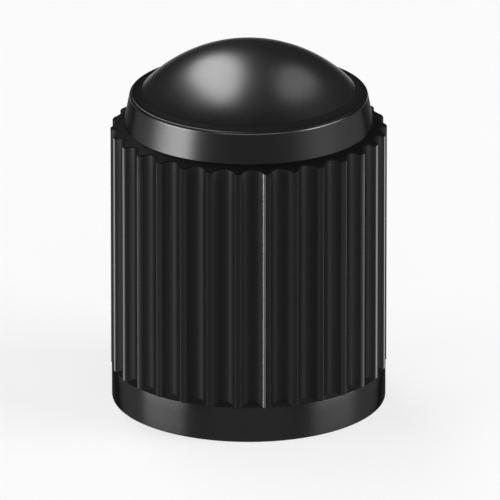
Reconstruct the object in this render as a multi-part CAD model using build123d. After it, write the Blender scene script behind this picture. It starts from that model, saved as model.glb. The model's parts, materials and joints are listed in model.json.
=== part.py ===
from build123d import *
import os
from math import cos, pi, sin

# Dust cap for a tyre valve, moulded in one piece and screwed on by hand, in millimetres.
# The origin is the centre of the mouth, +Z runs up to the dome, and a land of the grip lies on +X.

# Socket for the valve stem
stem_diameter = 7.75          # over the crests of the standard valve thread
thread_clearance = 0.05       # all round, between those crests and the roots in the cap
mouth_lead_in = 0.40          # 45 degree chamfer that guides the stem in
seat_drop = 0.96              # foot of the seat below the tops of the lands
seat_width = 1.00             # 45 degree cone that closes on the end of the stem
pocket_wall = 0.50            # straight wall of the pocket above the seat, for the valve's core pin
crown_wall = 1.30             # plastic between the pocket's roof and the top of the dome

# Fluted grip
grip_wall = 0.835             # plastic between the socket and the floor of a flute
flute_depth = 0.24
flute_count = 30
land_width = 0.23             # left between two flutes, before its edges are rounded
land_edge_round = 0.08
grip_length = 8.99            # lands, from the plain band to the shoulder
run_out_height = 0.15         # climb of a flute's floor where it runs out on the plain band

# Plain band below the grip
band_height = 1.33
band_step = 0.03              # band inside the lands
band_edge_round = 0.08

# Conical shoulder, tapered collar and dome
shoulder_width = 0.49         # from the lands inwards to the foot of the collar
shoulder_rise = 0.19
taper_height = 1.13
taper_inset = 0.21
rim_land = 0.32               # from the foot of the dome to the rim, before the rim is rounded
rim_round = 0.12
dome_rise = 1.78

# Radii, from the socket outwards and then in again to the dome
socket_radius = stem_diameter / 2 + thread_clearance
pocket_radius = socket_radius - seat_width
floor_radius = socket_radius + grip_wall
crest_radius = floor_radius + flute_depth
band_radius = crest_radius - band_step
collar_radius = crest_radius - shoulder_width
rim_radius = collar_radius - taper_inset
dome_radius = rim_radius - rim_land

# Heights above the mouth
shoulder_z = band_height + grip_length
collar_z = shoulder_z + shoulder_rise
rim_z = collar_z + taper_height
top_z = rim_z + dome_rise
seat_z = shoulder_z - seat_drop
pocket_z = seat_z + seat_width
roof_foot_z = pocket_z + pocket_wall
roof_z = top_z - crown_wall

# A flute is a round groove through its two land edges and its floor
flute_half_angle = pi / flute_count - land_width / (2 * crest_radius)
half_chord = crest_radius * sin(flute_half_angle)
groove_depth = crest_radius * cos(flute_half_angle) - floor_radius
flute_radius = (half_chord**2 + groove_depth**2) / (2 * groove_depth)
flute_pitch_radius = floor_radius + flute_radius

# The outside is turned with this much more than the lands before they and the flutes are cut
turning_allowance = flute_depth
blank_radius = crest_radius + turning_allowance
blank_z = shoulder_z - shoulder_rise * turning_allowance / shoulder_width

# The cone of the run-out goes on inwards below the flutes, as far as the socket
run_out_slope = run_out_height / (band_radius - floor_radius)
run_out_z = band_height + run_out_slope * (band_radius - socket_radius)

# Outline across the grip: lands with rounded edges between the flutes
with BuildSketch(Plane.XY.offset(band_height)) as outline:
    Circle(crest_radius)
    with PolarLocations(flute_pitch_radius, flute_count, start_angle=180 / flute_count):
        Circle(flute_radius, mode=Mode.SUBTRACT)
    fillet(outline.vertices(), land_edge_round)

# Space round the grip, open above and ending below on the cone where the flutes run out
with BuildPart() as space:
    with BuildSketch(Plane.XY.offset(band_height)):
        Circle(blank_radius + turning_allowance)
        add(outline.sketch, mode=Mode.SUBTRACT)
    extrude(amount=grip_length + shoulder_rise)
    with BuildSketch(Plane.XZ):
        with BuildLine():
            Polyline(
                (socket_radius, band_height),
                (band_radius, band_height),
                (socket_radius, run_out_z),
                close=True,
            )
        make_face()
    revolve(axis=Axis.Z, mode=Mode.SUBTRACT)

with BuildPart() as cap:
    # Plain band, blank of the grip, conical shoulder, tapered collar and dome, turned about the axis
    with BuildSketch(Plane.XZ) as outside:
        with BuildLine():
            TangentArc((0, top_z), (dome_radius, rim_z), tangent=(1, 0))
            Polyline(
                (dome_radius, rim_z),
                (rim_radius, rim_z),
                (collar_radius, collar_z),
                (blank_radius, blank_z),
                (blank_radius, band_height),
                (band_radius, band_height),
                (band_radius, 0),
                (0, 0),
                (0, top_z),
            )
        make_face()
        fillet(outside.vertices().sort_by_distance((rim_radius, rim_z))[0], rim_round)
        fillet(outside.vertices().sort_by_distance((band_radius, 0))[0], band_edge_round)
    revolve(axis=Axis.Z)

    # Lands and flutes
    add(space.part, mode=Mode.SUBTRACT)

    # Blind socket: lead-in, wall for the thread, conical seat and domed pocket
    with BuildSketch(Plane.XZ):
        with BuildLine():
            Polyline(
                (0, roof_z),
                (0, 0),
                (socket_radius + mouth_lead_in, 0),
                (socket_radius, mouth_lead_in),
                (socket_radius, seat_z),
                (pocket_radius, pocket_z),
                (pocket_radius, roof_foot_z),
            )
            TangentArc((0, roof_z), (pocket_radius, roof_foot_z), tangent=(1, 0))
        make_face()
    revolve(axis=Axis.Z, mode=Mode.SUBTRACT)

os.makedirs("parts", exist_ok=True)
export_step(cap.part, "parts/valve_cap.step")
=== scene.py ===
"""Looks of a moulded tyre valve cap: one closed skin with its thread, black plastic and a small studio.

Everything is in metres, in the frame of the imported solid: the origin is the centre of the mouth,
+Z runs up to the dome, and a land of the grip lies on +X.
"""

import json
import logging
import math
from dataclasses import dataclass
from enum import Enum
from typing import Any, Sequence

import bmesh
import bpy
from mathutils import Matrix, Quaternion, Vector


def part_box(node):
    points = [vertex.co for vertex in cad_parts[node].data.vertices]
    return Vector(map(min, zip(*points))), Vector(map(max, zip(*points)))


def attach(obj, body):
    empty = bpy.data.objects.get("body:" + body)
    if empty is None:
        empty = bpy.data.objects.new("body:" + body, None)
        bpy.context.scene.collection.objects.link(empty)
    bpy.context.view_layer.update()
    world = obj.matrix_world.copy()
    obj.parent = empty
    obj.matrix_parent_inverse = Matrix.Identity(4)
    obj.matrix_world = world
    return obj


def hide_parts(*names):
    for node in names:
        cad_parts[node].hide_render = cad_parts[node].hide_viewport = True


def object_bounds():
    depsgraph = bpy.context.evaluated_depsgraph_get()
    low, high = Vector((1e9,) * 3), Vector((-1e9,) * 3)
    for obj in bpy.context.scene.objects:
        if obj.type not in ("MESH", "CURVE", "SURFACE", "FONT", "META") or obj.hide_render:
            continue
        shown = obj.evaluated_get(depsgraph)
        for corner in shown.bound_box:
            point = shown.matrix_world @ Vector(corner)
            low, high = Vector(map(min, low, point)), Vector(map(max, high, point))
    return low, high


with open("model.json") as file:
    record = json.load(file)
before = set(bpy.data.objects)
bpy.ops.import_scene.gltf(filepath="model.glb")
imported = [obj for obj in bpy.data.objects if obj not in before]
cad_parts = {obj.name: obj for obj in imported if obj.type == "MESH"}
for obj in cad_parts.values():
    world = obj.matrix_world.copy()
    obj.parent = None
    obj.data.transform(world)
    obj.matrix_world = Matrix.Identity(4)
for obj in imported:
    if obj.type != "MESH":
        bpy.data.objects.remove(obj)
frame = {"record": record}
CAD_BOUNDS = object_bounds()

MM = 0.001
INCH = 25.4 * MM
VALVE_TURNS_PER_INCH = 32
NODE = "valve_cap"
PHOTO_PIXELS = 500

log = logging.getLogger("valve_cap_scene")

Loop = list[int]
Point2 = tuple[float, float]
Span = tuple[float, float]
Colour = tuple[float, float, float]

WHITE = (1.0, 1.0, 1.0, 1.0)


class Zone(Enum):
    """Stretches of the surface that leave the mould with a finish of their own, by material number; some
    also carry painted light or painted shade in their colour.
    """

    GRIP = 0
    COLLAR = 1
    DOME = 2
    SOCKET = 3
    EDGE = 4
    BAND = 5
    PARTING = 6
    SHOULDER = 7
    LAND = 8
    HOLLOW = 9
    RIM = 10


OutlinePoint = tuple[Point2, Point2, Zone]


def smooth_step(value: float) -> float:
    """A value from 0 to 1 with level ends.

    Args:
        value: Any number; it is held between 0 and 1.

    Returns:
        The eased value.
    """
    held = min(max(value, 0.0), 1.0)
    return held * held * (3.0 - 2.0 * held)


def arc(centre: Point2, radius: float, start: float, end: float, steps: int) -> list[Point2]:
    """Points along a circular arc, both ends included.

    Args:
        centre: Centre of the arc.
        radius: Radius of the arc.
        start: Angle of the first point, in radians.
        end: Angle of the last point, in radians.
        steps: Number of chords.

    Returns:
        The points in order.
    """
    angles = [start + (end - start) * step / steps for step in range(steps + 1)]
    return [(centre[0] + radius * math.cos(a), centre[1] + radius * math.sin(a)) for a in angles]


def straight(start: Point2, end: Point2, steps: int, end_gap: float = 0.0) -> list[Point2]:
    """Points along a straight stretch, both ends included, with an extra point close to each end if asked.

    Args:
        start: First point.
        end: Last point.
        steps: Number of equal parts between the two ends.
        end_gap: Distance of the extra points from the ends, or 0 for none.

    Returns:
        The points in order.
    """
    length = math.hypot(end[0] - start[0], end[1] - start[1])
    shares = [step / steps for step in range(steps + 1)]
    if end_gap > 0.0:
        shares = sorted(set(shares) | {end_gap / length, 1.0 - end_gap / length})
    return [(start[0] + (end[0] - start[0]) * s, start[1] + (end[1] - start[1]) * s) for s in shares]


def spherical_cap(foot: Point2, top: float, steps: int) -> list[Point2]:
    """Half section of a dome, from its foot to just below its top.

    Args:
        foot: Radius and height of the dome's foot.
        top: Height of the dome's top, on the axis.
        steps: Number of chords from the foot to the top.

    Returns:
        Points as radius and height, without the top itself.
    """
    rise = top - foot[1]
    radius = (foot[0] ** 2 + rise**2) / (2.0 * rise)
    centre = (0.0, top - radius)
    foot_angle = math.atan2(foot[1] - centre[1], foot[0])
    return arc(centre, radius, foot_angle, math.pi / 2.0, steps)[:-1]


def full_turn(columns: int) -> list[float]:
    """Angles of evenly spaced columns round the axis, in radians."""
    return [2.0 * math.pi * column / columns for column in range(columns)]


def rotated(point: Point2, turn: float) -> Point2:
    """A point or a direction turned round the axis.

    Args:
        point: The point or the direction.
        turn: Angle of the turn, in radians.

    Returns:
        The turned point or direction.
    """
    cosine, sine = math.cos(turn), math.sin(turn)
    return cosine * point[0] - sine * point[1], sine * point[0] + cosine * point[1]


def direction(around: float, above: float) -> Vector:
    """Direction from the cap to a place round it.

    Args:
        around: Degrees round the cap from the photograph's side.
        above: Degrees above the floor.

    Returns:
        A vector of length 1.
    """
    turn, climb = math.radians(around), math.radians(above)
    level = math.cos(climb)
    return Vector((math.sin(turn) * level, -math.cos(turn) * level, math.sin(climb)))


class Skin:
    """A closed skin grown from loops of points that run round the cap's axis."""

    def __init__(self) -> None:
        """Starts with no points and no faces."""
        self.points: list[Vector] = []
        self.faces: list[tuple[int, ...]] = []
        self.zones: list[int] = []
        self.zone = Zone.GRIP

    def point(self, x: float, y: float, z: float) -> int:
        """Adds one point and returns its number."""
        self.points.append(Vector((x, y, z)))
        return len(self.points) - 1

    def face(self, *numbers: int) -> None:
        """Adds one face in the current zone."""
        self.faces.append(numbers)
        self.zones.append(self.zone.value)

    def ring(self, angles: Sequence[float], radius: float, height: float) -> Loop:
        """Adds a level ring.

        Args:
            angles: Angles of the ring's points, in radians.
            radius: Radius of the ring.
            height: Height of the ring.

        Returns:
            The numbers of the new points.
        """
        return [self.point(radius * math.cos(a), radius * math.sin(a), height) for a in angles]

    def strip(self, first: Loop, second: Loop, zones: Sequence[Zone] = ()) -> None:
        """Joins two loops of as many points with four-sided faces.

        Args:
            first: One loop.
            second: The other loop.
            zones: The zone of each face, or nothing to stay in the current zone.
        """
        count = len(first)
        for i in range(count):
            j = (i + 1) % count
            self.zone = zones[i] if zones else self.zone
            self.face(first[i], first[j], second[j], second[i])

    def turned(self, start: Loop, angles: Sequence[float], section: Sequence[Point2]) -> Loop:
        """Goes on from a loop with one ring for each point of a half section.

        Args:
            start: The loop to go on from.
            angles: Angles of the rings' points, in radians.
            section: Points as radius and height.

        Returns:
            The last ring.
        """
        last = start
        for radius, height in section:
            ring = self.ring(angles, radius, height)
            self.strip(last, ring)
            last = ring
        return last

    def stitch(self, first: Loop, second: Loop) -> None:
        """Joins two loops of unlike counts with triangles, going round both by angle.

        Args:
            first: One loop, which starts near angle 0.
            second: The other loop, which starts near angle 0.
        """
        angles = [self.unrolled(loop) for loop in (first, second)]
        i = j = 0
        while i < len(first) or j < len(second):
            a, b = first[i % len(first)], second[j % len(second)]
            advance_first = j >= len(second) or (i < len(first) and angles[0][i + 1] <= angles[1][j + 1])
            if advance_first:
                i += 1
                self.face(a, first[i % len(first)], b)
            else:
                j += 1
                self.face(a, second[j % len(second)], b)

    def unrolled(self, loop: Loop) -> list[float]:
        """Angles of a loop's points, rising all the way round.

        Args:
            loop: The loop's points.

        Returns:
            One angle for each point and one more for the first point after a full turn.
        """
        angles: list[float] = []
        for number in [*loop, loop[0]]:
            angle = math.atan2(self.points[number].y, self.points[number].x)
            while angles and angle < angles[-1] - math.pi:
                angle += 2.0 * math.pi
            angles.append(angle)
        return angles

    def close(self, loop: Loop, height: float) -> None:
        """Closes a loop with a fan to a point on the axis.

        Args:
            loop: The last loop.
            height: Height of the point on the axis.
        """
        tip = self.point(0.0, 0.0, height)
        count = len(loop)
        for i in range(count):
            self.face(loop[i], loop[(i + 1) % count], tip)

    def mesh(self, name: str, crease_angle: float) -> bpy.types.Mesh:
        """Makes the mesh, with its faces turned outwards.

        Args:
            name: Name of the mesh.
            crease_angle: Edges that turn by more than this stay sharp, in radians.

        Returns:
            The new mesh.
        """
        mesh = bpy.data.meshes.new(name)
        mesh.from_pydata(self.points, [], self.faces)
        mesh.polygons.foreach_set("material_index", self.zones)
        shell = bmesh.new()
        shell.from_mesh(mesh)
        bmesh.ops.recalc_face_normals(shell, faces=shell.faces)
        shell.to_mesh(mesh)
        shell.free()
        mesh.shade_smooth()
        mesh.set_sharp_from_angle(angle=crease_angle)
        return mesh


@dataclass(frozen=True)
class ConeFace:
    """A face turned about the axis that rises towards it."""

    radius: float
    height: float
    steepness: float

    def height_at(self, radius: float) -> float:
        """Height of the face at a radius."""
        return self.height + (self.radius - radius) * self.steepness


@dataclass(frozen=True)
class FlutedGrip:
    """The hand grip: round flutes between narrow lands, from a run-out below to a conical shoulder."""

    crest_radius: float
    flute_depth: float = 0.24 * MM
    flute_count: int = 30
    land_width: float = 0.23 * MM
    land_edge_round: float = 0.08 * MM
    parting_lands: tuple[int, int] = (8, 23)
    parting_edge_round: float = 0.12 * MM
    top_edge_round: float = 0.06 * MM
    length: float = 8.99 * MM
    flute_steps: int = 14
    round_steps: int = 4
    wall_rows: int = 9

    @property
    def pitch(self) -> float:
        """Angle from one land to the next."""
        return 2.0 * math.pi / self.flute_count

    @property
    def floor_radius(self) -> float:
        """Radius at the floor of a flute."""
        return self.crest_radius - self.flute_depth

    @property
    def flute_radius(self) -> float:
        """Radius of the arc across a flute.

        Returns:
            The radius of the arc through two land edges and the floor between them.
        """
        half = self.pitch / 2.0 - self.land_width / (2.0 * self.crest_radius)
        half_chord = self.crest_radius * math.sin(half)
        sagitta = self.crest_radius * math.cos(half) - self.floor_radius
        return (half_chord**2 + sagitta**2) / (2.0 * sagitta)

    def land_edge(self, edge_round: float) -> tuple[Point2, float, float]:
        """Place of a land's rounded edge, for a flute that faces +X.

        Args:
            edge_round: Radius of the rounded edge.

        Returns:
            The centre of the round on the +Y side, the angle where the land ends, and the angle where
            the flute starts as seen from the flute's centre.
        """
        centre = self.floor_radius + self.flute_radius
        reach = self.crest_radius - edge_round
        spread = (reach**2 + centre**2 - (self.flute_radius + edge_round) ** 2) / (2.0 * centre * reach)
        land_end = math.acos(spread)
        middle = (reach * math.cos(land_end), reach * math.sin(land_end))
        return middle, land_end, math.atan2(middle[1], centre - middle[0])

    def one_flute(self, parts_here: bool) -> list[OutlinePoint]:
        """Outline from the middle of one land to the middle of the next, across a flute that faces +X.

        Args:
            parts_here: Whether the mould parts along the land on the +Y side.

        Returns:
            Points with their outward directions and the zone of the face after them, without the last.
        """
        lower_round = self.land_edge_round
        (x, y), lower_end, lower_wall = self.land_edge(lower_round)
        lower = (x, -y)
        upper_round = self.parting_edge_round if parts_here else lower_round
        upper_zone = Zone.PARTING if parts_here else Zone.EDGE
        upper, upper_end, upper_wall = self.land_edge(upper_round)
        middle = (self.floor_radius + self.flute_radius, 0.0)
        land = arc((0.0, 0.0), self.crest_radius, -self.pitch / 2.0, -lower_end, 1)[:1]
        start, end = math.pi + lower_wall, math.pi - upper_wall
        flute = arc(middle, self.flute_radius, start, end, self.flute_steps)
        first = arc(lower, lower_round, -lower_end, lower_wall, self.round_steps)
        second = arc(upper, upper_round, -upper_wall, upper_end, self.round_steps)
        points = self.with_directions(land, (0.0, 0.0), 1.0, Zone.LAND)
        points += self.with_directions(first[:-1], lower, 1.0, Zone.EDGE)
        points += self.with_directions(flute[:-1], middle, -1.0, Zone.GRIP)
        points += self.with_directions(second[:-1], upper, 1.0, upper_zone)
        points += self.with_directions(second[-1:], upper, 1.0, Zone.LAND)
        return points

    @staticmethod
    def with_directions(
        points: list[Point2], centre: Point2, side: float, zone: Zone
    ) -> list[OutlinePoint]:
        """Gives each point of an arc its outward direction and its zone.

        Args:
            points: The points.
            centre: Centre of the arc.
            side: 1 where the plastic lies inside the arc, -1 where it lies outside.
            zone: Zone of the faces after the points.

        Returns:
            Points with their outward directions and zones.
        """
        dressed: list[OutlinePoint] = []
        for x, y in points:
            reach = side * math.hypot(x - centre[0], y - centre[1])
            dressed.append(((x, y), ((x - centre[0]) / reach, (y - centre[1]) / reach), zone))
        return dressed

    def outline(self) -> list[OutlinePoint]:
        """The whole fluted outline.

        Returns:
            Points with their outward directions and the zone of the face after them, all the way round.
        """
        whole: list[OutlinePoint] = []
        for number in range(self.flute_count):
            parts_here = (number + 1) % self.flute_count in self.parting_lands
            turn = (number + 0.5) * self.pitch
            for place, facing, zone in self.one_flute(parts_here):
                whole.append((rotated(place, turn), rotated(facing, turn), zone))
        return whole

    def wall(self, place: Point2, facing: Point2, run_out: ConeFace, shoulder: ConeFace) -> list[Point2]:
        """Section of the wall at one point of the outline, up to where its edge meets the shoulder.

        Args:
            place: The point of the outline.
            facing: Its outward direction.
            run_out: The cone that the flutes end on below.
            shoulder: The cone that the flutes end on above.

        Returns:
            Points as distance inwards and height.
        """
        reach = math.hypot(*place)
        edge = self.top_edge_round
        climb = math.atan(shoulder.steepness * (place[0] * facing[0] + place[1] * facing[1]) / reach)
        inset = edge * (1.0 - math.sin(climb))
        centre = shoulder.height_at(reach) + math.tan(climb) * inset - edge * math.cos(climb)
        foot = max(run_out.height, run_out.height_at(reach))
        section = straight((0.0, foot), (0.0, centre), self.wall_rows)
        return section + arc((edge, centre), edge, math.pi, math.pi / 2.0 + climb, self.round_steps)[1:]

    def build(self, skin: Skin, run_out: ConeFace, shoulder: ConeFace) -> tuple[Loop, Loop]:
        """Adds the fluted wall and the rounded edge of the shoulder.

        Args:
            skin: The skin to add to.
            run_out: The cone that the flutes end on below.
            shoulder: The cone that the flutes end on above.

        Returns:
            The loop at the foot and the loop where the shoulder's cone starts.
        """
        columns: list[Loop] = []
        zones: list[Zone] = []
        for (x, y), (u, v), zone in self.outline():
            section = self.wall((x, y), (u, v), run_out, shoulder)
            columns.append([skin.point(x - u * inset, y - v * inset, height) for inset, height in section])
            zones.append(zone)
        loops = [list(loop) for loop in zip(*columns)]
        for first, second in zip(loops[: self.wall_rows], loops[1:]):
            skin.strip(first, second, zones)
        skin.zone = Zone.SHOULDER
        for first, second in zip(loops[self.wall_rows :], loops[self.wall_rows + 1 :]):
            skin.strip(first, second)
        return loops[0], loops[-1]


@dataclass(frozen=True)
class PlainBand:
    """The smooth band round the mouth, below the grip."""

    radius: float
    height: float = 1.33 * MM
    top_edge_round: float = 0.02 * MM
    foot_edge_round: float = 0.08 * MM
    top_round_steps: int = 3
    foot_round_steps: int = 5
    wall_rows: int = 3

    def build(self, skin: Skin, grip_foot: Loop) -> Loop:
        """Adds the run-outs of the flutes and the band's wall and rounded foot.

        Args:
            skin: The skin to add to.
            grip_foot: The loop at the foot of the flutes, on the band's top.

        Returns:
            The loop where the mouth's rim is flat.
        """
        angles = skin.unrolled(grip_foot)[:-1]
        upper, foot = self.top_edge_round, self.foot_edge_round
        top_centre = (self.radius - upper, self.height - upper)
        section = arc(top_centre, upper, math.pi / 2.0, 0.0, self.top_round_steps)
        section += straight((self.radius, self.height - upper), (self.radius, foot), self.wall_rows)[1:]
        section += arc((self.radius - foot, foot), foot, 0.0, -math.pi / 2.0, self.foot_round_steps)[1:]
        skin.zone = Zone.GRIP
        run_outs = skin.turned(grip_foot, angles, section[:1])
        skin.zone = Zone.BAND
        return skin.turned(run_outs, angles, section[1:])


@dataclass(frozen=True)
class Crown:
    """The tapered collar, rounded rim and dome above the grip's shoulder."""

    collar_radius: float
    foot: float
    top: float
    taper_height: float = 1.13 * MM
    taper_inset: float = 0.21 * MM
    rim_land: float = 0.32 * MM
    rim_round: float = 0.12 * MM
    dome_blend: float = 0.48 * MM
    columns: int = 240
    taper_rows: int = 4
    rim_steps: int = 6
    blend_steps: int = 8
    dome_rows: int = 44
    taper_end_gap: float = 0.015 * MM

    @property
    def rim_height(self) -> float:
        """Height of the rim above the mouth."""
        return self.foot + self.taper_height

    @property
    def rim_radius(self) -> float:
        """Radius of the rim before it is rounded."""
        return self.collar_radius - self.taper_inset

    def rounded_rim(self) -> list[Point2]:
        """Section of the rim's round, from the taper up to the top.

        Returns:
            Points as radius and height.
        """
        slope = math.atan2(self.taper_inset, self.taper_height)
        tangent = self.rim_round * math.tan((math.pi / 2.0 - slope) / 2.0)
        centre = (self.rim_radius - tangent, self.rim_height - self.rim_round)
        return arc(centre, self.rim_round, slope, math.pi / 2.0, self.rim_steps)

    def hollow(self) -> list[Point2]:
        """Section of the hollow in which the rim runs into the dome.

        Returns:
            Points as radius and height, from the rim inwards to the dome.
        """
        dome_foot = self.rim_radius - self.rim_land
        rise = self.top - self.rim_height
        dome_radius = (dome_foot**2 + rise**2) / (2.0 * rise)
        height = self.rim_height + self.dome_blend
        climb = height - (self.top - dome_radius)
        radius = math.sqrt((dome_radius + self.dome_blend) ** 2 - climb**2)
        meeting = math.atan2(climb, radius) - math.pi
        return arc((radius, height), self.dome_blend, -math.pi / 2.0, meeting, self.blend_steps)

    def build(self, skin: Skin, grip_top: Loop) -> None:
        """Adds the shoulder and everything above it.

        Args:
            skin: The skin to add to.
            grip_top: The loop where the shoulder starts, at its fluted edge.
        """
        rounded = self.rounded_rim()
        taper = straight((self.collar_radius, self.foot), rounded[0], self.taper_rows, self.taper_end_gap)
        hollow = self.hollow()
        dome = spherical_cap(hollow[-1], self.top, self.dome_rows)
        angles = full_turn(self.columns)
        skin.zone = Zone.SHOULDER
        foot = skin.ring(angles, *taper[0])
        skin.stitch(grip_top, foot)
        skin.zone = Zone.COLLAR
        collar_top = skin.turned(foot, angles, taper[1:])
        skin.zone = Zone.RIM
        rim_top = skin.turned(collar_top, angles, rounded[1:])
        skin.zone = Zone.HOLLOW
        dome_foot = skin.turned(rim_top, angles, hollow)
        skin.zone = Zone.DOME
        dome_top = skin.turned(dome_foot, angles, dome[1:])
        skin.close(dome_top, self.top)


@dataclass(frozen=True)
class ThreadedSocket:
    """The blind socket: lead-in, valve thread, conical seat and a domed pocket for the core pin."""

    radius: float
    seat: float
    roof: float
    lead_in: float = 0.40 * MM
    seat_width: float = 1.00 * MM
    pocket_wall: float = 0.50 * MM
    pitch: float = INCH / VALVE_TURNS_PER_INCH
    thread_height: float = 0.42 * MM
    crest_share: float = 0.22
    root_share: float = 0.14
    thread_start: float = 0.45 * MM
    thread_end: float = 8.40 * MM
    run_in: float = 0.40 * MM
    plain_margin: float = 0.04 * MM
    columns: int = 240
    rows_per_turn: int = 14
    seat_rows: int = 2
    roof_rows: int = 16

    def ridge(self, phase: float) -> float:
        """Share of the thread's height at a place across one turn.

        Args:
            phase: Place across the turn, from 0 to 1, with the crest at the middle.

        Returns:
            0 at the root and 1 at the crest.
        """
        off_crest = abs(phase - 0.5)
        flank_foot = 0.5 - self.root_share / 2.0
        flank = flank_foot - self.crest_share / 2.0
        share = min(max((flank_foot - off_crest) / flank, 0.0), 1.0)
        return (share + smooth_step(share)) / 2.0

    def wall_radius(self, phase: float, height: float) -> float:
        """Radius of the threaded wall.

        Args:
            phase: Place across the turn, from 0 to 1.
            height: Height above the mouth.

        Returns:
            The radius there, with the thread running in and out over part of a turn.
        """
        begin = smooth_step((height - self.thread_start) / self.run_in)
        end = smooth_step((self.thread_end - height) / self.run_in)
        return self.radius - self.thread_height * self.ridge(phase) * begin * end

    def rows(self, column: int) -> tuple[int, int]:
        """The first and the last row of the threaded wall in one column.

        Args:
            column: Number of the column, round from +X.

        Returns:
            The two row numbers; a row climbs by one pitch in a full turn.
        """
        climb = column / self.columns
        low = (self.lead_in + self.plain_margin) / self.pitch
        high = (self.seat - self.plain_margin) / self.pitch
        first = math.ceil((low - climb) * self.rows_per_turn)
        last = math.floor((high - climb) * self.rows_per_turn)
        return first, last

    def thread(self, skin: Skin, angles: Sequence[float]) -> tuple[Loop, Loop]:
        """Adds the wall on a grid whose rows climb with the right-hand helix.

        Args:
            skin: The skin to add to.
            angles: Angles of the wall's columns.

        Returns:
            The lowest and the highest loop of the wall.
        """
        turn = self.rows_per_turn
        grid: dict[tuple[int, int], int] = {}
        for column, angle in enumerate(angles):
            first, last = self.rows(column)
            for row in range(first, last + 1):
                height = self.pitch * (row / turn + column / self.columns)
                radius = self.wall_radius((row % turn) / turn, height)
                grid[column, row] = skin.point(radius * math.cos(angle), radius * math.sin(angle), height)
        lowest = [grid[column, self.rows(column)[0]] for column in range(self.columns)]
        highest = [grid[column, self.rows(column)[1]] for column in range(self.columns)]
        first, last = self.rows(self.columns)
        for row in range(first, last + 1):
            grid[self.columns, row] = grid[0, row + turn]
        for column in range(self.columns):
            first, last = self.rows(column)
            next_first, next_last = self.rows(column + 1)
            for row in range(first, next_last):
                lower = grid[column, row], grid[column + 1, row]
                skin.face(*lower, grid[column + 1, row + 1], grid[column, row + 1])
            if next_first < first:
                skin.face(grid[column, first], grid[column + 1, next_first], grid[column + 1, first])
            if next_last < last:
                skin.face(grid[column, next_last], grid[column + 1, next_last], grid[column, last])
        return lowest, highest

    def build(self, skin: Skin, rim_edge: Loop) -> None:
        """Adds the rim's flat and everything inside the mouth.

        Args:
            skin: The skin to add to.
            rim_edge: The loop where the mouth's rim is flat, at its outer edge.
        """
        skin.zone = Zone.SOCKET
        angles = full_turn(self.columns)
        mouth = skin.ring(angles, self.radius + self.lead_in, 0.0)
        skin.stitch(rim_edge, mouth)
        throat = skin.turned(mouth, angles, [(self.radius, self.lead_in)])
        lowest, highest = self.thread(skin, angles)
        skin.strip(throat, lowest)
        pocket_radius = self.radius - self.seat_width
        pocket = self.seat + self.seat_width
        roof_foot = pocket + self.pocket_wall
        section = straight((self.radius, self.seat), (pocket_radius, pocket), self.seat_rows)
        section += straight((pocket_radius, pocket), (pocket_radius, roof_foot), self.seat_rows)[1:]
        section += spherical_cap((pocket_radius, roof_foot), self.roof, self.roof_rows)[1:]
        skin.close(skin.turned(highest, angles, section), self.roof)


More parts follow.
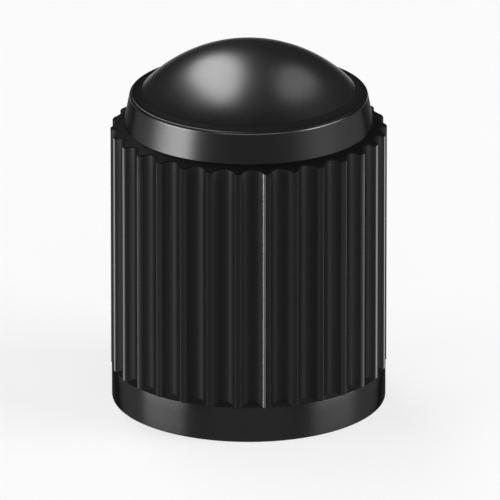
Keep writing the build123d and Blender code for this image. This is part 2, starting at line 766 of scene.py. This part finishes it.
@dataclass(frozen=True)
class BlackPlastic:
    """Black plastic as it leaves the mould: its colour, its gloss and the marks of the mould's surface.

    Without slanted_gloss the gloss is the same at every slant, and without foot_gloss at every height.
    Deep and pale lighter than the default are painted light, darker ones painted shade.
    """

    name: str
    roughness: Span
    refraction: float
    turning_marks: float = 0.0
    grain_height: float = 0.0004 * MM
    gloss: float = 0.5
    slanted_gloss: float | None = None
    slants: Span = (0.0, 1.0)
    foot_gloss: float | None = None
    foot_shade_heights: Span = (0.0, 1.0)
    deep: Colour = (0.0026, 0.0026, 0.0027)
    pale: Colour = (0.0036, 0.0036, 0.0038)
    cloud_size: float = 2.2 * MM
    cloud_detail: float = 4.0
    cloud_range: Span = (0.3, 0.7)
    grain_size: float = 0.12 * MM
    grain_detail: float = 3.0
    quarter_turn: float = 0.25

    def material(self) -> bpy.types.Material:
        """Builds the node material.

        Returns:
            The new material.
        """
        material = bpy.data.materials.new(self.name)
        material.use_nodes = True
        tree = material.node_tree
        shader = tree.nodes["Principled BSDF"]
        shader.inputs["IOR"].default_value = self.refraction
        place = tree.nodes.new("ShaderNodeTexCoord").outputs["Object"]
        self.cloud(tree, shader, place)
        self.grain(tree, shader, place)
        self.shine(tree, shader, place)
        if self.turning_marks > 0.0:
            self.turn(tree, shader)
        return material

    def cloud(
        self, tree: bpy.types.NodeTree, shader: bpy.types.Node, place: bpy.types.NodeSocket
    ) -> None:
        """Lets the colour and the roughness drift a little in soft clouds.

        Args:
            tree: The material's nodes.
            shader: The plastic's shader.
            place: The place on the cap.
        """
        clouds = self.noise(tree, place, self.cloud_size, self.cloud_detail)
        shade = tree.nodes.new("ShaderNodeMix")
        shade.data_type = "RGBA"
        shade.inputs["A"].default_value = (*self.deep, 1.0)
        shade.inputs["B"].default_value = (*self.pale, 1.0)
        tree.links.new(clouds, shade.inputs["Factor"])
        tree.links.new(shade.outputs["Result"], shader.inputs["Base Color"])
        dullness = self.mapped(tree, clouds, self.cloud_range, self.roughness)
        tree.links.new(dullness.outputs["Result"], shader.inputs["Roughness"])

    def grain(
        self, tree: bpy.types.NodeTree, shader: bpy.types.Node, place: bpy.types.NodeSocket
    ) -> None:
        """Adds the fine grain of the mould's surface.

        Args:
            tree: The material's nodes.
            shader: The plastic's shader.
            place: The place on the cap.
        """
        bump = tree.nodes.new("ShaderNodeBump")
        bump.inputs["Strength"].default_value = 1.0
        bump.inputs["Distance"].default_value = self.grain_height
        grains = self.noise(tree, place, self.grain_size, self.grain_detail)
        tree.links.new(grains, bump.inputs["Height"])
        tree.links.new(bump.outputs["Normal"], shader.inputs["Normal"])

    def shine(
        self, tree: bpy.types.NodeTree, shader: bpy.types.Node, place: bpy.types.NodeSocket
    ) -> None:
        """Sets the gloss, with painted shade that lowers it towards its foot and a change at a slant where
        asked.

        Seen at a slant, textured plastic dulls and rubbed plastic shines.

        Args:
            tree: The material's nodes.
            shader: The plastic's shader.
            place: The place on the cap.
        """
        level = shader.inputs["Specular IOR Level"]
        level.default_value = self.gloss
        # painted shade: the gloss drops to foot_gloss towards the foot, darkening the surface there
        if self.foot_gloss is not None:
            height = tree.nodes.new("ShaderNodeSeparateXYZ")
            tree.links.new(place, height.inputs["Vector"])
            glosses = (self.foot_gloss, self.gloss)
            foot_shade = self.mapped(tree, height.outputs["Z"], self.foot_shade_heights, glosses, eased=True)
            tree.links.new(foot_shade.outputs["Result"], level)
            level = foot_shade.inputs["To Max"]
        if self.slanted_gloss is not None:
            facing = tree.nodes.new("ShaderNodeLayerWeight").outputs["Facing"]
            glosses = (self.gloss, self.slanted_gloss)
            slanted = self.mapped(tree, facing, self.slants, glosses, eased=True)
            tree.links.new(slanted.outputs["Result"], level)

    def turn(self, tree: bpy.types.NodeTree, shader: bpy.types.Node) -> None:
        """Draws the gloss out along the axis, as fine turning marks in the mould do.

        Args:
            tree: The material's nodes.
            shader: The plastic's shader.
        """
        around = tree.nodes.new("ShaderNodeTangent")
        around.direction_type = "RADIAL"
        around.axis = "Z"
        shader.inputs["Anisotropic"].default_value = self.turning_marks
        shader.inputs["Anisotropic Rotation"].default_value = self.quarter_turn
        tree.links.new(around.outputs["Tangent"], shader.inputs["Tangent"])

    @staticmethod
    def noise(
        tree: bpy.types.NodeTree, place: bpy.types.NodeSocket, size: float, detail: float
    ) -> bpy.types.NodeSocket:
        """Adds a noise of a given grain size.

        Args:
            tree: The material's nodes.
            place: The place on the cap.
            size: Size of the largest grains.
            detail: Number of finer layers.

        Returns:
            The strength of the noise.
        """
        noise = tree.nodes.new("ShaderNodeTexNoise")
        noise.inputs["Scale"].default_value = 1.0 / size
        noise.inputs["Detail"].default_value = detail
        tree.links.new(place, noise.inputs["Vector"])
        return noise.outputs["Fac"]

    @staticmethod
    def mapped(
        tree: bpy.types.NodeTree,
        value: bpy.types.NodeSocket,
        source: Span,
        result: Span,
        eased: bool = False,
    ) -> bpy.types.Node:
        """Adds a node that maps one span of values to another.

        Args:
            tree: The material's nodes.
            value: The value to map.
            source: The span that the value runs over.
            result: What the two ends of that span become.
            eased: Whether the change starts and ends softly.

        Returns:
            The new node.
        """
        node = tree.nodes.new("ShaderNodeMapRange")
        node.interpolation_type = "SMOOTHSTEP" if eased else "LINEAR"
        for name, number in zip(("From Min", "From Max", "To Min", "To Max"), (*source, *result)):
            node.inputs[name].default_value = number
        tree.links.new(value, node.inputs["Value"])
        return node


# The cap is one black plastic: where a zone's deep and pale differ from the default, they are lighter
# copies (painted light) and darker copies (painted shade).
FINISHES: dict[Zone, BlackPlastic] = {
    Zone.GRIP: BlackPlastic(
        "satin_flutes_painted_light", roughness=(0.44, 0.50), refraction=1.19,
        turning_marks=0.58, grain_height=0.0006 * MM,
        slanted_gloss=0.03, slants=(0.22, 0.48),
        # deep and pale here are a lighter copy of the black: painted light that lifts the shaded flutes
        deep=(0.0062, 0.0062, 0.0064), pale=(0.0084, 0.0084, 0.0086),
    ),
    Zone.EDGE: BlackPlastic(
        "rubbed_edges", roughness=(0.14, 0.20), refraction=1.65, grain_height=0.0002 * MM,
        gloss=0.14, slanted_gloss=1.0, slants=(0.48, 0.74),
    ),
    Zone.LAND: BlackPlastic(
        "rubbed_lands", roughness=(0.08, 0.14), refraction=1.90, grain_height=0.0002 * MM,
        gloss=0.06, slanted_gloss=1.0, slants=(0.36, 0.82),
    ),
    Zone.PARTING: BlackPlastic(
        "parting_edges", roughness=(0.32, 0.38), refraction=1.95,
        turning_marks=0.75, grain_height=0.0001 * MM,
    ),
    Zone.SHOULDER: BlackPlastic(
        "dull_shoulder_painted_shade", roughness=(0.50, 0.60), refraction=1.10,
        # deep and pale here are a darker copy of the black: painted shade on the shoulder, which faces up
        # into the back lamps
        deep=(0.0018, 0.0018, 0.0019), pale=(0.0026, 0.0026, 0.0027),
    ),
    Zone.BAND: BlackPlastic(
        "satin_band_painted_shade", roughness=(0.34, 0.38), refraction=1.33,
        turning_marks=0.95, grain_height=0.0006 * MM,
        slanted_gloss=0.001, slants=(0.28, 0.72),
        # deep and pale here are a darker copy of the black: painted shade that keeps the band's front dark
        deep=(0.0018, 0.0018, 0.0019), pale=(0.0026, 0.0026, 0.0028),
    ),
    Zone.COLLAR: BlackPlastic(
        "smooth_collar", roughness=(0.27, 0.29), refraction=1.47, grain_height=0.00006 * MM,
        slanted_gloss=0.002, slants=(0.20, 0.66),
    ),
    Zone.RIM: BlackPlastic(
        "rounded_rim", roughness=(0.27, 0.29), refraction=1.51, grain_height=0.00006 * MM,
        slanted_gloss=0.14, slants=(0.04, 0.30),
    ),
    Zone.HOLLOW: BlackPlastic(
        "matt_hollow_painted_light", roughness=(0.44, 0.50), refraction=1.06,
        slanted_gloss=0.0, slants=(0.25, 0.75),
        # deep and pale here are a lighter copy of the black: painted light in the matt hollow
        deep=(0.0062, 0.0062, 0.0064), pale=(0.0074, 0.0074, 0.0076),
    ),
    Zone.DOME: BlackPlastic(
        "polished_dome_painted_foot_shade", roughness=(0.27, 0.30), refraction=1.74, grain_height=0.00006 * MM,
        gloss=0.56, slanted_gloss=0.0, slants=(0.0, 1.05),
        # foot_gloss darkens the dome towards its foot: painted shade
        foot_gloss=0.20, foot_shade_heights=(11.76 * MM, 12.40 * MM),
        deep=(0.0036, 0.0036, 0.0037), pale=(0.0048, 0.0048, 0.0050),
    ),
    Zone.SOCKET: BlackPlastic("plain_socket", roughness=(0.42, 0.48), refraction=1.45),
}


@dataclass(frozen=True)
class ValveCap:
    """The whole cap, one moulding: grip, plain band, crown and threaded socket in one skin."""

    grip: FlutedGrip
    band: PlainBand
    crown: Crown
    socket: ThreadedSocket
    run_out: ConeFace
    shoulder: ConeFace
    crease_angle: float = math.radians(32.0)

    @classmethod
    def from_frame(
        cls,
        record: dict[str, Any],
        band_step: float = 0.03 * MM,
        run_out_height: float = 0.15 * MM,
        shoulder_width: float = 0.49 * MM,
        shoulder_rise: float = 0.19 * MM,
        crown_wall: float = 1.30 * MM,
    ) -> "ValveCap":
        """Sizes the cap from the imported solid.

        Args:
            record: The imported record.
            band_step: How far the plain band lies inside the lands of the grip.
            run_out_height: Climb of a flute's floor where it runs out on the plain band.
            shoulder_width: Width of the conical shoulder, from the lands inwards to the collar's foot.
            shoulder_rise: Rise of the shoulder over that width.
            crown_wall: Thickness of the plastic between the pocket's roof and the dome's top.

        Returns:
            The cap, not yet built.
        """
        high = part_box(NODE)[1]
        thread = next(mount for mount in record["mounts"] if mount["name"] == "valve_thread")
        grip = FlutedGrip(crest_radius=high[0])
        band = PlainBand(radius=grip.crest_radius - band_step)
        run_out = ConeFace(band.radius, band.height, run_out_height / (band.radius - grip.floor_radius))
        shoulder = ConeFace(grip.crest_radius, band.height + grip.length, shoulder_rise / shoulder_width)
        collar_radius = grip.crest_radius - shoulder_width
        crown = Crown(collar_radius, foot=shoulder.height_at(collar_radius), top=high[2])
        seat = ThreadedSocket.lead_in + thread["dims"]["length_mm"] * MM
        socket = ThreadedSocket(radius=thread["dims"]["r_mm"] * MM, seat=seat, roof=high[2] - crown_wall)
        return cls(grip, band, crown, socket, run_out, shoulder)

    def build(self, finishes: dict[Zone, BlackPlastic]) -> bpy.types.Object:
        """Grows the skin, dresses it and puts it in the solid's place.

        Args:
            finishes: The finish of each zone.

        Returns:
            The cap's object.
        """
        skin = Skin()
        grip_foot, grip_top = self.grip.build(skin, self.run_out, self.shoulder)
        self.crown.build(skin, grip_top)
        rim_edge = self.band.build(skin, grip_foot)
        self.socket.build(skin, rim_edge)
        mesh = skin.mesh("moulded_cap", self.crease_angle)
        cap = bpy.data.objects.new("moulded_cap", mesh)
        bpy.context.scene.collection.objects.link(cap)
        for zone in Zone:
            mesh.materials.append(finishes[zone].material())
        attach(cap, "root")
        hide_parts(NODE)
        return cap


class Place(Enum):
    """Where a soft box stands: degrees round from the photograph's side, and degrees above the floor."""

    BACK_LEFT = (-151.8, 56.5)
    BACK_RIGHT = (134.8, 53.0)
    LEFT = (-76.0, 7.6)
    RIGHT = (76.0, 20.0)
    FRONT = (0.0, 37.0)


class LampShape(Enum):
    """Outline of a soft box."""

    RECTANGLE = "RECTANGLE"
    ELLIPSE = "ELLIPSE"


@dataclass(frozen=True)
class SoftBox:
    """A flat lamp that faces the cap, leaning over to one side by some degrees."""

    place: Place
    width: float
    height: float
    brightness: float
    lean: float = 0.0
    distance: float = 0.30
    shape: LampShape = LampShape.RECTANGLE

    def build(self, target: Vector) -> bpy.types.Object:
        """Adds the lamp.

        Args:
            target: The point it faces.

        Returns:
            The lamp's object.
        """
        lamp = bpy.data.lights.new(self.place.name.lower(), "AREA")
        lamp.shape = self.shape.value
        lamp.size = self.width
        lamp.size_y = self.height
        lamp.energy = math.pi * self.width * self.height * self.brightness
        towards = direction(*self.place.value)
        holder = bpy.data.objects.new(lamp.name, lamp)
        holder.location = target + towards * self.distance
        upright = (-towards).to_track_quat("-Z", "Y")
        leaning = Quaternion((0.0, 0.0, 1.0), math.radians(-self.lean))
        holder.rotation_euler = (upright @ leaning).to_euler()
        holder.visible_camera = False
        bpy.context.scene.collection.objects.link(holder)
        return holder


@dataclass(frozen=True)
class Camera:
    """The long view of the photograph, from well above the dome."""

    turn: float = -1.6
    elevation: float = 20.3
    pixels_per_metre: float = 27510.0
    foot_pixel: Point2 = (248.7, 393.7)
    distance: float = 0.60
    clip_start: float = 0.001
    clip_end: float = 10.0

    def build(self) -> bpy.types.Object:
        """Adds the camera and makes it the scene's own.

        Returns:
            The camera's object.
        """
        lens = bpy.data.cameras.new("camera")
        lens.lens = lens.sensor_width * self.distance * self.pixels_per_metre / PHOTO_PIXELS
        lens.clip_start = self.clip_start
        lens.clip_end = self.clip_end
        around = math.radians(self.turn)
        right = Vector((math.cos(around), math.sin(around), 0.0))
        back = direction(self.turn, self.elevation)
        up = back.cross(right)
        across = (PHOTO_PIXELS / 2.0 - self.foot_pixel[0]) / self.pixels_per_metre
        rise = (self.foot_pixel[1] - PHOTO_PIXELS / 2.0) / self.pixels_per_metre
        camera = bpy.data.objects.new("camera", lens)
        camera.location = right * across + up * rise + back * self.distance
        camera.rotation_euler = back.to_track_quat("Z", "Y").to_euler()
        bpy.context.scene.collection.objects.link(camera)
        bpy.context.scene.camera = camera
        return camera


@dataclass(frozen=True)
class Studio:
    """A pale round floor, soft boxes and a dim room."""

    floor_radius: float = 0.12
    floor_sides: int = 96
    floor_drop: float = 0.01 * MM
    floor_colour: Colour = (0.18, 0.18, 0.18)
    floor_glow: float = 0.67
    room_brightness: float = 0.05
    boxes: tuple[SoftBox, ...] = (
        SoftBox(
            Place.BACK_LEFT, width=0.128, height=0.335, brightness=5.1,
            lean=26.0, shape=LampShape.ELLIPSE,
        ),
        SoftBox(
            Place.BACK_RIGHT, width=0.100, height=0.225, brightness=1.22,
            lean=-38.0, shape=LampShape.ELLIPSE,
        ),
        SoftBox(Place.LEFT, width=0.218, height=0.079, brightness=28.0),
        SoftBox(Place.RIGHT, width=0.218, height=0.079, brightness=28.0),
        SoftBox(Place.FRONT, width=0.340, height=0.100, brightness=4.0),
    )

    def build(self, target: Vector) -> None:
        """Adds the floor, the lamps and the room's light.

        Args:
            target: The point that the lamps face.
        """
        self.floor()
        for box in self.boxes:
            box.build(target)
        self.room()
        bpy.context.scene.view_settings.view_transform = "Standard"

    def floor(self) -> None:
        """Adds the matt floor, which is white to look at and still takes the cap's shadow."""
        mesh = bpy.data.meshes.new("floor")
        rim = arc((0.0, 0.0), self.floor_radius, 0.0, 2.0 * math.pi, self.floor_sides)[:-1]
        mesh.from_pydata([(x, y, 0.0) for x, y in rim], [], [tuple(range(self.floor_sides))])
        floor = bpy.data.objects.new("floor", mesh)
        floor.location.z = -self.floor_drop
        bpy.context.scene.collection.objects.link(floor)
        material = bpy.data.materials.new("matt_white_floor")
        material.use_nodes = True
        tree = material.node_tree
        shader = tree.nodes["Principled BSDF"]
        shader.inputs["Base Color"].default_value = (*self.floor_colour, 1.0)
        shader.inputs["Roughness"].default_value = 1.0
        shader.inputs["Specular IOR Level"].default_value = 0.0
        shader.inputs["Emission Color"].default_value = WHITE
        path = tree.nodes.new("ShaderNodeLightPath")
        mirrored = self.larger(tree, path.outputs["Is Glossy Ray"], path.outputs["Is Transmission Ray"])
        seen = self.larger(tree, path.outputs["Is Camera Ray"], mirrored)
        glow = tree.nodes.new("ShaderNodeMath")
        glow.operation = "MULTIPLY"
        glow.inputs[1].default_value = self.floor_glow
        tree.links.new(seen, glow.inputs[0])
        tree.links.new(glow.outputs["Value"], shader.inputs["Emission Strength"])
        mesh.materials.append(material)

    @staticmethod
    def larger(
        tree: bpy.types.NodeTree, first: bpy.types.NodeSocket, second: bpy.types.NodeSocket
    ) -> bpy.types.NodeSocket:
        """Adds a node that gives the larger of two values.

        Args:
            tree: The material's nodes.
            first: One value.
            second: The other value.

        Returns:
            The output of the new node.
        """
        node = tree.nodes.new("ShaderNodeMath")
        node.operation = "MAXIMUM"
        tree.links.new(first, node.inputs[0])
        tree.links.new(second, node.inputs[1])
        return node.outputs["Value"]

    def room(self) -> None:
        """Sets the even light of the room."""
        world = bpy.data.worlds.new("room")
        bpy.context.scene.world = world
        world.use_nodes = True
        background = world.node_tree.nodes["Background"]
        background.inputs["Color"].default_value = WHITE
        background.inputs["Strength"].default_value = self.room_brightness


def main() -> None:
    """Builds the cap, then the studio and the camera."""
    logging.basicConfig(level=logging.INFO, format="%(name)s: %(message)s")
    cap = ValveCap.from_frame(frame["record"]).build(FINISHES)
    log.info("%s: %d points, %d faces", cap.name, len(cap.data.vertices), len(cap.data.polygons))
    middle = (Vector(CAD_BOUNDS[0]) + Vector(CAD_BOUNDS[1])) / 2.0
    Studio().build(middle)
    log.info("floor, lamps and room are in place")
    Camera().build()
    log.info("camera is in place")


if __name__ == "__main__":
    main()
